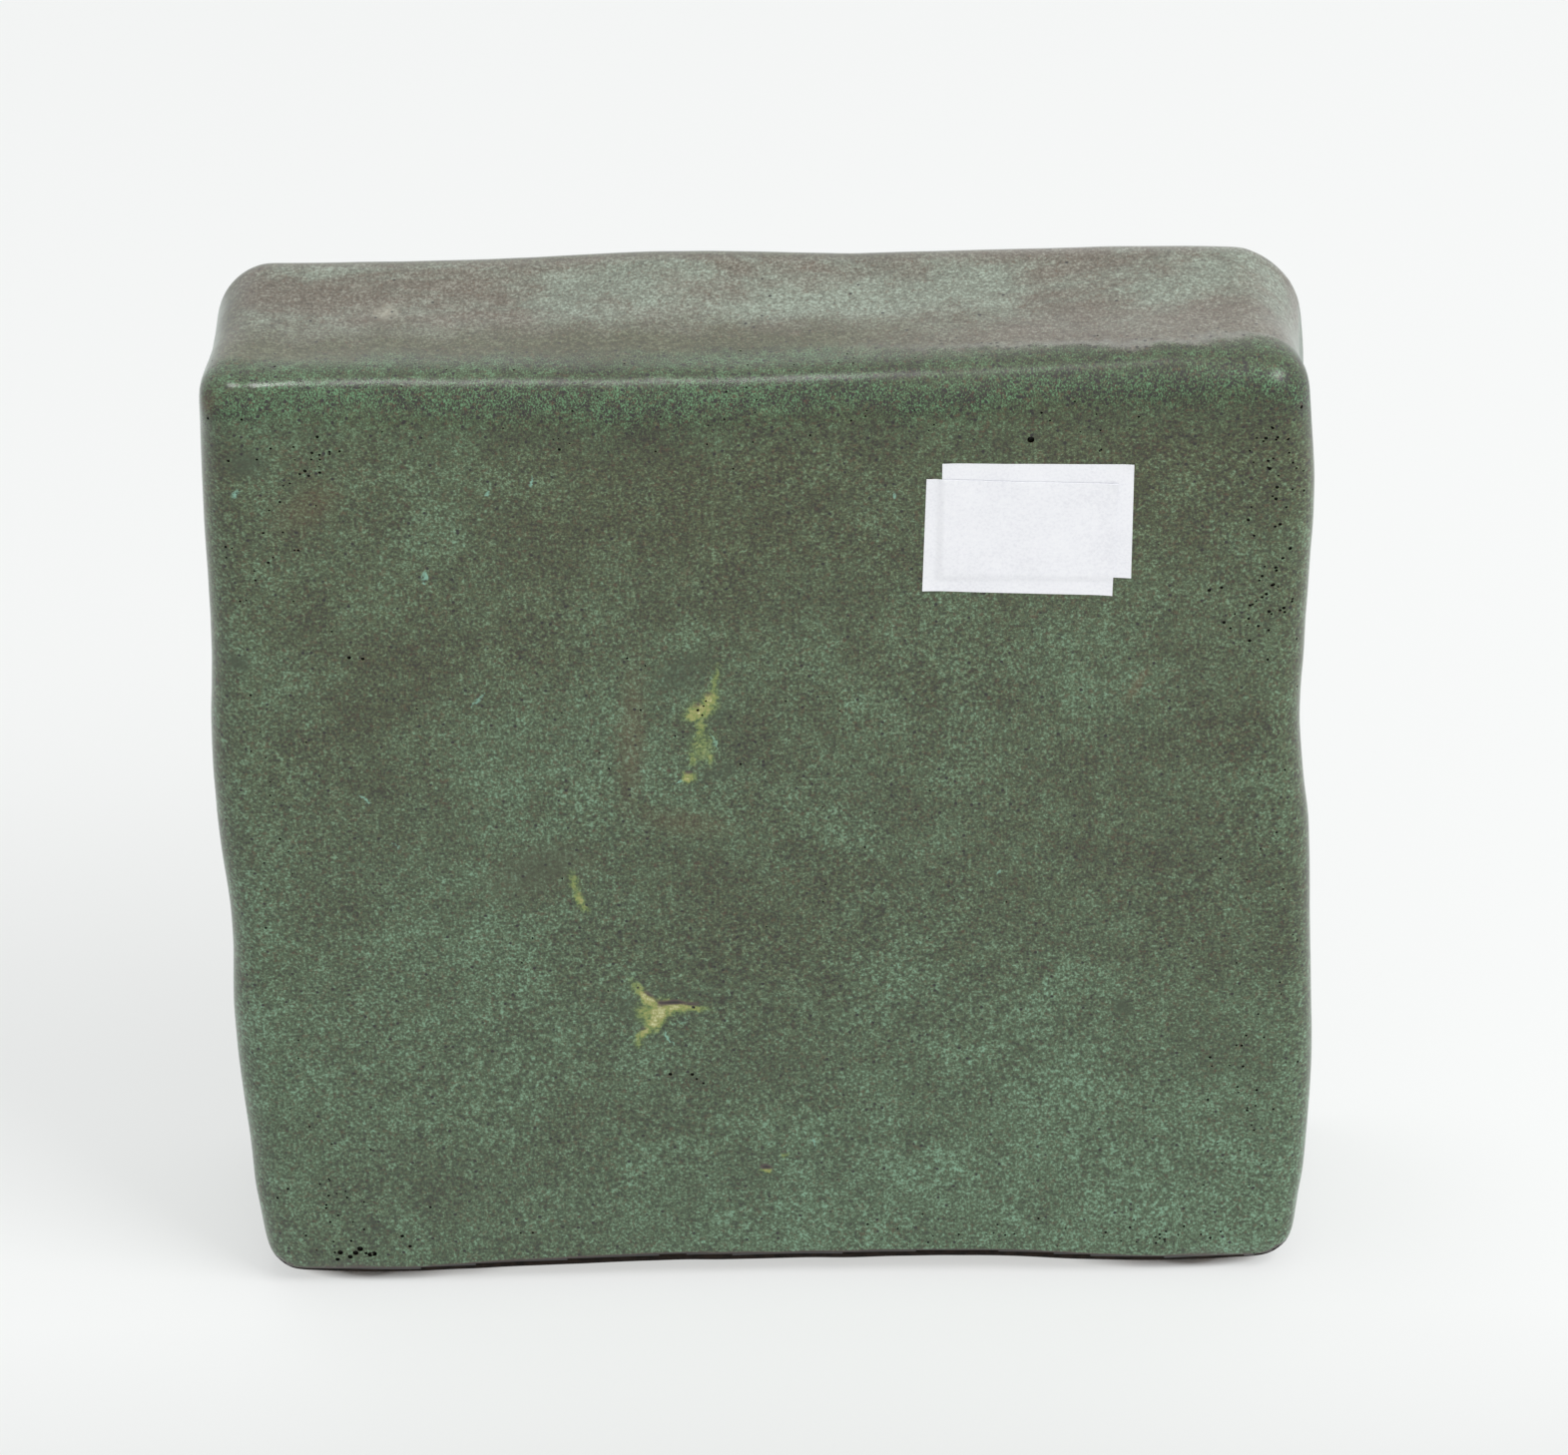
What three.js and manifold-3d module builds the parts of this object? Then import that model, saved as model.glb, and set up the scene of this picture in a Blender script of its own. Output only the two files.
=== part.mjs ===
// A pottery bookend, in millimetres, +Z up: a hollow block built by hand from clay slabs and glazed.
// Its large plain face, with two blank paper labels, looks towards -Y, and the shelf is at z = 0.
// The clay pieces are luted edge to edge with slip, so thin slip joints part them here.
import * as THREE from 'three';
import { mergeVertices } from 'three/addons/utils/BufferGeometryUtils.js';
import Module from 'manifold-3d';

// The block as it stands, on its felt feet
const WIDTH = 130;
const DEPTH = 34;
const HEIGHT = 130;

// Clay slabs
const FACE_WALL = 7.5;
const TOP_WALL = 8;
const END_WALL = 8;
const BASE_WALL = 7.5;
const SLIP_JOINT = 0.3;

// How far each worn edge is rounded over, and each corner of the faces
const TOP_EDGE = 5.5;
const END_EDGE = 4;
const FOOT_EDGE = 2.2;
const NEAR_LEFT_CORNER = 3;
const NEAR_RIGHT_CORNER = 4.5;
const FAR_LEFT_CORNER = 7.5;
const FAR_RIGHT_CORNER = 9;
const FOOT_CORNER = 6;
const CORNER_BLEND = 14;

// How deep the top and the ends sink between the two faces, and how much further in each end of
// the far face lies than that of the near face
const TOP_DIP = 1;
const LEFT_END = { dip: 0.3, taper: 0.8 };
const RIGHT_END = { dip: 1, taper: 0.2 };

// The near face is flat but for its foot, which is dished from this height down
const FACE_DIP = 1.2;
const DISH_TOP = 70;

// Hand-worked waviness: offsets at equal steps along an edge, outwards or upwards
const LEFT_LINE = [-0.5, -0.3, 0.4, 0.9, 0.4, 1.1, 1.3, 0.5, 0.4, 0.2, 0];
const RIGHT_LINE = [-0.2, 0.3, 1.2, 1.1, 0.8, 0.5, -0.7, -0.3, 0.5, 0.7, -0.1];
const NEAR_TOP_LINE = [0.5, 0.3, 0, -0.4, -0.8, -0.9, -0.3, 0.1, 0.8, 1.3, 0.4];
const FAR_TOP_LINE = [0.6, 0, -0.2, 0.2, 0.7, 0.5, 0, 0.1, 0.1, 0.4, 0.4];
const FOOT_ARCH = [0, 0, 0.3, 0.6, 0.8, 0.6, 0.8, 0.9, 0.4, 0, 0];

// How fast the waviness of an end, the top and the foot fades away from its edge
const END_FADE = 2;
const TOP_FADE = 3;
const FOOT_FADE = 6;

// Facets: their size on the flats, steps over half of a rounded edge, and sides of the round pieces
const FLAT_STEP = 6.5;
const EDGE_STEPS = 3;
const HOLE_SIDES = 32;
const FELT_SIDES = 24;
const LABEL_FACETS = 6;

// The way in for the sand, and its bung, which reaches through the base and a little beyond
const FILL_HOLE = 12;
const BUNG_CLEARANCE = 0.3;
const BUNG_TAPER = 0.6;
const BUNG_REACH = 4.5;
const BUNG_RECESS = 0.6;
const BUNG_CHAMFER = 0.7;

// Sand ballast, settled in the hollow with room left over it
const SAND_HEADROOM = 18;
const SAND_CLEARANCE = 0.3;

// Felt feet
const FELT_DIAMETER = 9;
const FELT_THICKNESS = 0.7;
const FELT_FROM_END = 14;
const FELT_FROM_FACE = 7.5;
const GLUE_LINE = 0.1;

// Paper labels, each with its centre measured from the right end and the top, and its tilt
const LABEL_WIDTH = 22.4;
const LABEL_HEIGHT = 15.8;
const PAPER = 0.15;
const LABEL_GLUE = 0.15;
const UNDER_LABEL = { fromEnd: 32.1, fromTop: 19.1, tilt: 1.5 };
const UPPER_LABEL = { fromEnd: 34.2, fromTop: 21.6, tilt: 2.4 };

const wasm = await Module();
wasm.setup();
const { clamp, lerp, smoothstep, degToRad } = THREE.MathUtils;

const colours = {
  glaze: { color: 0x5c6955, roughness: 0.45 },
  bareClay: { color: 0x8a6a55, roughness: 0.85 },
  sand: { color: 0xb9a27c, roughness: 0.95 },
  cork: { color: 0xb98a5a, roughness: 0.9 },
  felt: { color: 0x2f4033, roughness: 1 },
  paper: { color: 0xeeeef2, roughness: 0.8 },
};

const block = new THREE.Group();

function addPiece(name, geometry, finish) {
  const material = new THREE.MeshStandardMaterial({ metalness: 0, ...finish });
  const mesh = new THREE.Mesh(geometry, material);
  mesh.name = name;
  block.add(mesh);
}

// Solids and geometries, to and fro

function toSolid(geometry) {
  const bare = geometry.clone().deleteAttribute('normal').deleteAttribute('uv');
  const merged = mergeVertices(bare, 1e-4);
  return new wasm.Manifold(new wasm.Mesh({
    numProp: 3,
    vertProperties: merged.attributes.position.array,
    triVerts: new Uint32Array(merged.index.array),
  }));
}

function toGeometry(solid) {
  const mesh = solid.getMesh();
  const geometry = new THREE.BufferGeometry();
  geometry.setAttribute('position', new THREE.BufferAttribute(mesh.vertProperties, 3));
  geometry.setIndex(new THREE.BufferAttribute(mesh.triVerts, 1));
  geometry.computeVertexNormals();
  return geometry;
}

function boxBetween(low, high) {
  const size = high.map((value, axis) => value - low[axis]);
  const middle = high.map((value, axis) => (value + low[axis]) / 2);
  return new THREE.BoxGeometry(...size).translate(...middle);
}

// The outside of the block: a rounded box, then the hand-worked form laid over it

const LEFT = -WIDTH / 2;
const RIGHT = WIDTH / 2;
const NEAR = -DEPTH / 2;
const FAR = DEPTH / 2;
const CLAY_FOOT = FELT_THICKNESS + GLUE_LINE;
const CLAY_HEIGHT = HEIGHT - CLAY_FOOT;

// A line through offsets at equal steps from one end of an edge to the other
function handLine(from, to, offsets) {
  const curve = new THREE.SplineCurve(offsets.map((offset, step) => new THREE.Vector2(step, offset)));
  return (at) => curve.getPoint(clamp((at - from) / (to - from), 0, 1)).y;
}

const leftLine = handLine(CLAY_FOOT, HEIGHT, LEFT_LINE);
const rightLine = handLine(CLAY_FOOT, HEIGHT, RIGHT_LINE);
const nearTopLine = handLine(LEFT, RIGHT, NEAR_TOP_LINE);
const farTopLine = handLine(LEFT, RIGHT, FAR_TOP_LINE);
const footArch = handLine(LEFT, RIGHT, FOOT_ARCH);

// Between the faces: 0 at either face, 1 midway
const betweenFaces = (y) => Math.cos(Math.PI * clamp(y / DEPTH, -0.5, 0.5)) ** 2;
const riseOf = (z) => clamp((z - CLAY_FOOT) / CLAY_HEIGHT, 0, 1);
const midWidth = (x) => Math.cos(Math.PI * clamp(x / WIDTH, -0.5, 0.5)) ** 2;

// How far the near face sinks inwards at a point on it
const faceDip = (x, z) => FACE_DIP * midWidth(x) * clamp(1 - z / DISH_TOP, 0, 1) ** 2;

function handWork({ x, y, z }) {
  const rise = riseOf(z);
  const toEnd = Math.abs(x) / RIGHT;
  const toFar = (y - NEAR) / DEPTH;
  const endLine = x < 0 ? leftLine(z) : rightLine(z);
  const end = x < 0 ? LEFT_END : RIGHT_END;
  const endDip = end.dip * betweenFaces(y) + end.taper * toFar;
  const outwards = (endLine - endDip) * toEnd ** END_FADE;
  const topLine = lerp(nearTopLine(x), farTopLine(x), toFar) - TOP_DIP * betweenFaces(y);
  const inwards = faceDip(x, z) * (1 - toFar);
  return new THREE.Vector3(
    x + Math.sign(x) * outwards,
    y + inwards,
    z + topLine * rise ** TOP_FADE + footArch(x) * (1 - rise) ** FOOT_FADE,
  );
}

// Where a facet line runs along its side: how far along the flat, and how far over the edge at an end
function facetLine(index, flats) {
  const step = clamp(index - EDGE_STEPS, 0, flats);
  const over = (index - EDGE_STEPS - step) / EDGE_STEPS;
  return { along: step / flats, over: Math.tan(over * (Math.PI / 4)) };
}

// How far the rounding reaches in from the sides at a point, given by how far it is along each side
function roundingAt(alongX, alongY, alongZ) {
  const toEnd = smoothstep(Math.abs(alongX - 0.5) * WIDTH, RIGHT - CORNER_BLEND, RIGHT);
  const toTop = smoothstep(alongZ * CLAY_HEIGHT, CLAY_HEIGHT - CORNER_BLEND, CLAY_HEIGHT);
  const toFoot = 1 - smoothstep(alongZ * CLAY_HEIGHT, 0, CORNER_BLEND);
  const nearCorner = lerp(NEAR_LEFT_CORNER, NEAR_RIGHT_CORNER, alongX);
  const farCorner = lerp(FAR_LEFT_CORNER, FAR_RIGHT_CORNER, alongX);
  const topCorner = lerp(nearCorner, farCorner, alongY);
  return {
    x: END_EDGE + (topCorner - END_EDGE) * toTop + (FOOT_CORNER - END_EDGE) * toFoot,
    y: END_EDGE + (TOP_EDGE - END_EDGE) * toTop + (FOOT_EDGE - END_EDGE) * toFoot,
    foot: lerp(FOOT_EDGE, FOOT_CORNER, toEnd),
    top: lerp(TOP_EDGE, topCorner, toEnd),
  };
}

function clayBlock() {
  const flats = [WIDTH, DEPTH - 2 * END_EDGE, CLAY_HEIGHT].map((side) => Math.round(side / FLAT_STEP));
  const counts = flats.map((count) => count + 2 * EDGE_STEPS);
  const geometry = new THREE.BoxGeometry(1, 1, 1, ...counts);
  const position = geometry.attributes.position;
  for (let index = 0; index < position.count; index += 1) {
    const unit = new THREE.Vector3().fromBufferAttribute(position, index).addScalar(0.5);
    const [x, y, z] = unit.toArray().map((part, axis) => (
      facetLine(Math.round(part * counts[axis]), flats[axis])
    ));
    const round = roundingAt(x.along, y.along, z.along);
    const over = new THREE.Vector3(x.over, y.over, z.over).normalize();
    position.setXYZ(index, ...handWork({
      x: lerp(LEFT + round.x, RIGHT - round.x, x.along) + over.x * round.x,
      y: lerp(NEAR + round.y, FAR - round.y, y.along) + over.y * round.y,
      z: lerp(CLAY_FOOT + round.foot, HEIGHT - round.top, z.along)
        + over.z * (over.z < 0 ? round.foot : round.top),
    }));
  }
  return toSolid(geometry);
}

const clay = clayBlock();
const BEYOND = 10;
const hollow = {
  left: LEFT + END_WALL,
  right: RIGHT - END_WALL,
  near: NEAR + FACE_WALL,
  far: FAR - FACE_WALL,
  floor: CLAY_FOOT + BASE_WALL,
  roof: HEIGHT - TOP_WALL,
};

// A clay slab is the part of the block that lies between two corners of a box
function claySlab(low, high) {
  return clay.intersect(toSolid(boxBetween(low, high)));
}

const outside = {
  left: LEFT - BEYOND,
  right: RIGHT + BEYOND,
  near: NEAR - BEYOND,
  far: FAR + BEYOND,
  foot: -BEYOND,
  top: HEIGHT + BEYOND,
};
const middleNear = hollow.near + SLIP_JOINT;
const middleFar = hollow.far - SLIP_JOINT;

addPiece('near_face_slab', toGeometry(claySlab(
  [outside.left, outside.near, outside.foot],
  [outside.right, hollow.near, outside.top],
)), colours.glaze);

addPiece('far_face_slab', toGeometry(claySlab(
  [outside.left, hollow.far, outside.foot],
  [outside.right, outside.far, outside.top],
)), colours.glaze);

addPiece('top_strip', toGeometry(claySlab(
  [outside.left, middleNear, hollow.roof],
  [outside.right, middleFar, outside.top],
)), colours.glaze);

addPiece('left_end_strip', toGeometry(claySlab(
  [outside.left, middleNear, hollow.floor + SLIP_JOINT],
  [hollow.left, middleFar, hollow.roof - SLIP_JOINT],
)), colours.glaze);

addPiece('right_end_strip', toGeometry(claySlab(
  [hollow.right, middleNear, hollow.floor + SLIP_JOINT],
  [outside.right, middleFar, hollow.roof - SLIP_JOINT],
)), colours.glaze);

// The base strip, with the round hole through which the hollow is filled
function upright(geometry) {
  return geometry.rotateX(Math.PI / 2);
}

const fillHole = upright(new THREE.CylinderGeometry(
  FILL_HOLE / 2,
  FILL_HOLE / 2,
  BASE_WALL + 2 * BEYOND,
  HOLE_SIDES,
));
const baseStrip = claySlab(
  [outside.left, middleNear, outside.foot],
  [outside.right, middleFar, hollow.floor],
).subtract(toSolid(fillHole));
addPiece('base_strip', toGeometry(baseStrip), colours.bareClay);

// The cork bung: wide end down, drawn out downwards
const bungFoot = CLAY_FOOT + footArch(0) + BUNG_RECESS;
const bungLength = hollow.floor + BUNG_REACH - bungFoot;
const bungWide = FILL_HOLE / 2 - BUNG_CLEARANCE;
const bungNarrow = bungWide - BUNG_TAPER;
const bungProfile = [
  [0, 0],
  [bungWide - BUNG_CHAMFER, 0],
  [bungWide, BUNG_CHAMFER],
  [bungNarrow, bungLength - BUNG_CHAMFER],
  [bungNarrow - BUNG_CHAMFER, bungLength],
  [0, bungLength],
].map(([radius, height]) => new THREE.Vector2(radius, height));
const bung = upright(new THREE.LatheGeometry(bungProfile, HOLE_SIDES)).translate(0, 0, bungFoot);
addPiece('cork_bung', bung, colours.cork);

// The sand, level on top, with a pocket where the bung reaches in
const sandFloor = hollow.floor + SAND_CLEARANCE;
const sand = toSolid(boxBetween(
  [hollow.left + SAND_CLEARANCE, middleNear, sandFloor],
  [hollow.right - SAND_CLEARANCE, middleFar, hollow.roof - SAND_HEADROOM],
));
const bungPocket = upright(new THREE.CylinderGeometry(
  FILL_HOLE / 2,
  FILL_HOLE / 2,
  2 * (BUNG_REACH + BUNG_CLEARANCE),
  HOLE_SIDES,
)).translate(0, 0, hollow.floor);
addPiece('sand_ballast', toGeometry(sand.subtract(toSolid(bungPocket))), colours.sand);

// Four round felt feet, glued under the ends of the base
const feltX = RIGHT - FELT_FROM_END;
const feltY = FAR - FELT_FROM_FACE;
[[-feltX, -feltY], [feltX, -feltY], [feltX, feltY], [-feltX, feltY]].forEach(([x, y], index) => {
  const foot = upright(new THREE.CylinderGeometry(
    FELT_DIAMETER / 2,
    FELT_DIAMETER / 2,
    FELT_THICKNESS,
    FELT_SIDES,
  ));
  addPiece(`felt_foot_${index + 1}`, foot.translate(x, y, FELT_THICKNESS / 2), colours.felt);
});

// Paper labels, stuck to the near face and following it, the upper one over the under one
function labelSheet({ fromEnd, fromTop, tilt }, gapBehind) {
  const sheet = new THREE.BoxGeometry(
    LABEL_WIDTH,
    PAPER,
    LABEL_HEIGHT,
    LABEL_FACETS,
    1,
    LABEL_FACETS,
  ).rotateY(degToRad(tilt)).translate(RIGHT - fromEnd, 0, HEIGHT - fromTop);
  const position = sheet.attributes.position;
  for (let index = 0; index < position.count; index += 1) {
    const inFace = faceDip(position.getX(index), position.getZ(index));
    const clear = NEAR + inFace - gapBehind - PAPER / 2;
    position.setY(index, position.getY(index) + clear);
  }
  return sheet;
}

addPiece('label_under', labelSheet(UNDER_LABEL, LABEL_GLUE), colours.paper);
addPiece('label_upper', labelSheet(UPPER_LABEL, 2 * LABEL_GLUE + PAPER), colours.paper);

// The labels and the waviness shift the block a little, so it is centred over its origin
const extent = new THREE.Box3().setFromObject(block);
const centre = extent.getCenter(new THREE.Vector3());
block.position.set(-centre.x, -centre.y, 0);

const bookend = new THREE.Group();
bookend.add(block);

export default bookend;
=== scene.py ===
import math
import random

import bmesh
import bpy
from mathutils import Matrix, Vector, noise
from mathutils.bvhtree import BVHTree


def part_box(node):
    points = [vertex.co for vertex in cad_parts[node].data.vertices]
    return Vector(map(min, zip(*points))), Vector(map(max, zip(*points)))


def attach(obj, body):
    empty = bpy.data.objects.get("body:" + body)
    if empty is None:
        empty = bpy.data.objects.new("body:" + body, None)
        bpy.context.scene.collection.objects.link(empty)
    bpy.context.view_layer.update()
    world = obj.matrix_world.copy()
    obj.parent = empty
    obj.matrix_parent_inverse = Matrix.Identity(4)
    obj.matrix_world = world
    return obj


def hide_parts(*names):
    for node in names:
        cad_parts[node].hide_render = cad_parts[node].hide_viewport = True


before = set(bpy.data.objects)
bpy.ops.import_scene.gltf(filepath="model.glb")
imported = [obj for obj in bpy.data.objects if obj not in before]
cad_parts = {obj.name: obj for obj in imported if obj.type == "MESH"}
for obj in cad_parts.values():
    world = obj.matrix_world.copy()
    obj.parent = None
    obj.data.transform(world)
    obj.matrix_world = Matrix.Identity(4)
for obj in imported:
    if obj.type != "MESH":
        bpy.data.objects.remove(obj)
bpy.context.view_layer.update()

# Fired body
# The real body is six slabs of clay luted edge to edge with slip, patted smooth, with all
# its edges rolled by hand, then glazed and fired as one hollow block.
MM = 0.001
CLAY_NODES = ("near_face_slab", "far_face_slab", "top_strip", "left_end_strip",
              "right_end_strip", "base_strip")
GRID = 4.6 * MM               # spacing of the coarse grid that follows the slabs
EDGE_LINES = (0.268, 0.577)   # tangents of 15 and 30 degrees: rays fan out evenly at an edge
FOOT_SAMPLE_DEPTH = 4 * MM    # the foot's small rounding is sampled from this close
SLIP_JOINT = 0.4 * MM         # a ray that falls into a slip joint is cast again this far beside it
FILLING_HOLE = 7 * MM         # and one that falls into the filling hole, this far
STRAIGHT_DOWN = -0.999        # only a ray that points straight down can do that
OPENING_DEPTH = 1.5 * MM      # deeper than any dip of the clay itself
CORNER_SOFTENED = 13 * MM     # the two corners at the foot were rubbed round this far
CORNER_PASSES = 3
ROLL_LEVELS = 2               # subdivisions that round the edges
SETTLE_PASSES = 2             # times that the grid is moved out to where rounding took it from
SAME_PLACE = 1e-7             # points nearer than this, in metres, count as one
CREASE = math.radians(40)     # edges of every piece that bend more than this are shaded sharp


def move_mesh_to_scene(name, mesh):
    """Makes a smooth-shaded object of that name from a bmesh and puts it in the scene."""
    made = bpy.data.meshes.new(name)
    mesh.to_mesh(made)
    mesh.free()
    made.shade_smooth()
    piece = bpy.data.objects.new(name, made)
    bpy.context.scene.collection.objects.link(piece)
    return piece


def finished_mesh(piece):
    """The mesh that a piece's modifiers make."""
    graph = bpy.context.evaluated_depsgraph_get()
    return bpy.data.meshes.new_from_object(piece.evaluated_get(graph), depsgraph=graph)


slabs = bmesh.new()
for name in CLAY_NODES:
    slabs.from_mesh(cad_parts[name].data)
slab_surface = BVHTree.FromBMesh(slabs)
block_low = Vector([min(v.co[axis] for v in slabs.verts) for axis in range(3)])
block_high = Vector([max(v.co[axis] for v in slabs.verts) for axis in range(3)])
slabs.free()
hollow_low = Vector((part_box("left_end_strip")[1].x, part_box("near_face_slab")[1].y,
                     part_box("base_strip")[1].z))
hollow_high = Vector((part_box("right_end_strip")[0].x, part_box("far_face_slab")[0].y,
                      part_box("top_strip")[0].z))
core_low = Vector((hollow_low.x, hollow_low.y, block_low.z + FOOT_SAMPLE_DEPTH))
core_high = hollow_high


def outermost(start, towards):
    """Distance from start to the slabs' outside along a ray that comes in from beyond them."""
    reach = (block_high - block_low).length
    hit = slab_surface.ray_cast(start + towards * reach, -towards)
    return reach - hit[3] if hit[0] else 0


def skin_point(on_box):
    """Where a point of the box round the block lands on the slabs, bridging their openings."""
    core = Vector([min(max(on_box[a], core_low[a]), core_high[a]) for a in range(3)])
    towards = (on_box - core).normalized()
    out = outermost(core, towards)
    across = towards.orthogonal().normalized()
    openings = (SLIP_JOINT, FILLING_HOLE) if towards.z < STRAIGHT_DOWN else (SLIP_JOINT,)
    for reach in openings:
        beside = max(outermost(core + Matrix.Rotation(turn, 3, towards) @ across * reach, towards)
                     for turn in (0, math.pi / 2, math.pi, 3 * math.pi / 2))
        if beside > out + OPENING_DEPTH:
            out = beside
    return core + towards * out


cage = bmesh.new()
bmesh.ops.create_cube(cage, size=1, matrix=Matrix.Translation((block_low + block_high) / 2)
                      @ Matrix.Diagonal((*(block_high - block_low), 1)))
for axis in range(3):
    low, high = core_low[axis], core_high[axis]
    cells = round((high - low) / GRID)
    lines = [low + (high - low) * i / cells for i in range(cells + 1)]
    lines += [low + (block_low[axis] - low) * t for t in EDGE_LINES]
    lines += [high + (block_high[axis] - high) * t for t in EDGE_LINES]
    across = Vector([1 if a == axis else 0 for a in range(3)])
    for line in lines:
        bmesh.ops.bisect_plane(cage, geom=cage.verts[:] + cage.edges[:] + cage.faces[:],
                               dist=SAME_PLACE, plane_co=across * line, plane_no=across)
for v, place in zip(cage.verts, [skin_point(v.co) for v in cage.verts]):
    v.co = place
low_corners = [v for v in cage.verts
               if v.co.z < CORNER_SOFTENED and abs(v.co.x) > block_high.x - CORNER_SOFTENED]
for _ in range(CORNER_PASSES):
    bmesh.ops.smooth_vert(cage, verts=low_corners, factor=0.5, use_axis_x=True,
                          use_axis_y=False, use_axis_z=True)
for v in cage.verts:
    v.co.z = max(v.co.z, block_low.z)
on_slabs = [v.co.copy() for v in cage.verts]
body = move_mesh_to_scene("fired_body", cage)
roll = body.modifiers.new("rolled_edges", "SUBSURF")
roll.levels = roll.render_levels = ROLL_LEVELS
for _ in range(SETTLE_PASSES):
    settled = finished_mesh(body)
    for v, place in zip(body.data.vertices, on_slabs):
        v.co += place - settled.vertices[v.index].co
    body.data.update()
    bpy.data.meshes.remove(settled)
settled = finished_mesh(body)
body.modifiers.clear()
body.data = settled

# Skips, drops and pools of the glaze
# Where the glaze drew back in the kiln the buff clay shows inside a thin yellow-green rim, a
# little lower than the skin. Elsewhere the glaze ran into pale drops and dark pools, took on
# rust from the clay, wore nearly white on top, or ran thick and glossy along the edge.
NEAR, FAR = -16.7, 17.2       # y of the two faces
BARE_SPOTS = [
    # Each mark is made of ovals: place (x, y, z), half-lengths along and across in mm, tilt on
    # the face in degrees from level, and strength.
    # the long skip above the middle, from its neck down to its last drop
    (-5.4, NEAR, 88.8, 1.7, 0.35, 82, 0.5), (-6.2, NEAR, 86.2, 1.2, 0.6, 62, 0.8),
    (-7.3, NEAR, 84.7, 1.5, 0.9, 30, 0.8), (-8.0, NEAR, 84.0, 0.9, 0.6, 10, 0.75),
    (-7.4, NEAR, 82.2, 1.2, 0.45, 88, 0.58), (-7.2, NEAR, 79.6, 1.7, 1.1, 85, 0.47),
    (-8.4, NEAR, 77.9, 0.9, 0.35, 75, 0.5), (-6.3, NEAR, 77.9, 0.8, 0.3, 100, 0.55),
    (-9.0, NEAR, 75.2, 0.65, 0.55, 30, 0.8),
    # the short streak left of the middle
    (-23.2, NEAR, 60.2, 1.3, 0.45, 100, 0.52), (-22.7, NEAR, 57.9, 1.0, 0.45, 115, 0.66),
    (-22.1, NEAR, 56.6, 0.7, 0.35, 125, 0.52),
    # the star with three arms
    (-16.0, NEAR, 44.6, 1.2, 0.35, 125, 0.55), (-14.9, NEAR, 42.9, 1.6, 0.48, 130, 0.9),
    (-13.5, NEAR, 41.0, 1.4, 0.95, 60, 1.0), (-11.8, NEAR, 41.6, 1.6, 0.65, 4, 0.9),
    (-9.6, NEAR, 41.5, 1.5, 0.38, -8, 0.62), (-14.2, NEAR, 39.6, 1.2, 0.75, 70, 0.95),
    (-15.4, NEAR, 37.9, 1.3, 0.42, 45, 0.75), (-16.1, NEAR, 36.4, 0.8, 0.3, 75, 0.5),
    (-15.2, NEAR, 40.9, 1.1, 0.9, 90, 0.62),
    # two drops near the foot
    (-1.1, NEAR, 16.4, 0.45, 0.35, 0, 0.8), (1.2, NEAR, 18.8, 0.4, 0.25, 30, 0.5),
]
PALE_DROPS = [
    (-30.3, -13.5, 130.3, 2.8, 0.35, 0, 0.9), (7.4, -13.6, 129.9, 1.0, 0.35, 10, 1.0),
    (-26.1, NEAR, 117.1, 0.8, 0.25, 85, 0.8), (-31.4, NEAR, 115.5, 0.5, 0.3, 60, 0.7),
    (-39.3, NEAR, 104.0, 1.2, 0.3, 88, 0.7), (-60.8, NEAR, 116.0, 0.8, 0.45, 60, 0.8),
    (-33.6, NEAR, 86.7, 1.2, 0.3, 55, 0.75), (-47.8, NEAR, 72.8, 1.0, 0.25, 130, 0.7),
    (-44.4, NEAR, 66.1, 0.7, 0.2, 120, 0.6), (16.2, NEAR, 114.5, 0.4, 0.3, 90, 0.8),
    (27.9, NEAR, 60.8, 0.5, 0.2, 60, 0.6), (4.9, NEAR, 20.7, 1.3, 0.15, 115, 0.6),
    (-5.8, NEAR, 80.4, 1.3, 0.15, -68, 0.9), (-10.2, NEAR, 74.6, 1.0, 0.15, 25, 0.7),
    (-12.7, NEAR, 37.2, 1.6, 0.13, -66, 0.9), (-10.6, NEAR, 39.6, 1.8, 0.8, 20, 0.35),
    (22.0, FAR, 101.0, 0.9, 0.3, 80, 0.7), (-35.5, FAR, 52.0, 0.8, 0.25, 110, 0.7),
    (-8.0, FAR, 33.0, 0.6, 0.3, 60, 0.7), (41.0, FAR, 24.5, 1.1, 0.2, 95, 0.7),
]
RUST_STAINS = [
    (-15.6, NEAR, 81.0, 9.0, 1.4, 86, 0.45), (-10.0, NEAR, 68.8, 5.0, 1.6, 170, 0.35),
    (44.8, NEAR, 87.7, 2.6, 0.5, 62, 0.7), (-52.5, NEAR, 114.0, 4.0, 2.2, 40, 0.4),
    (-27.0, NEAR, 62.0, 5.5, 3.0, 20, 0.3), (-63.6, -15.5, 127.6, 1.4, 0.9, 50, 0.6),
    (14.0, FAR, 74.0, 6.0, 2.4, 160, 0.35),
]
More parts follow.
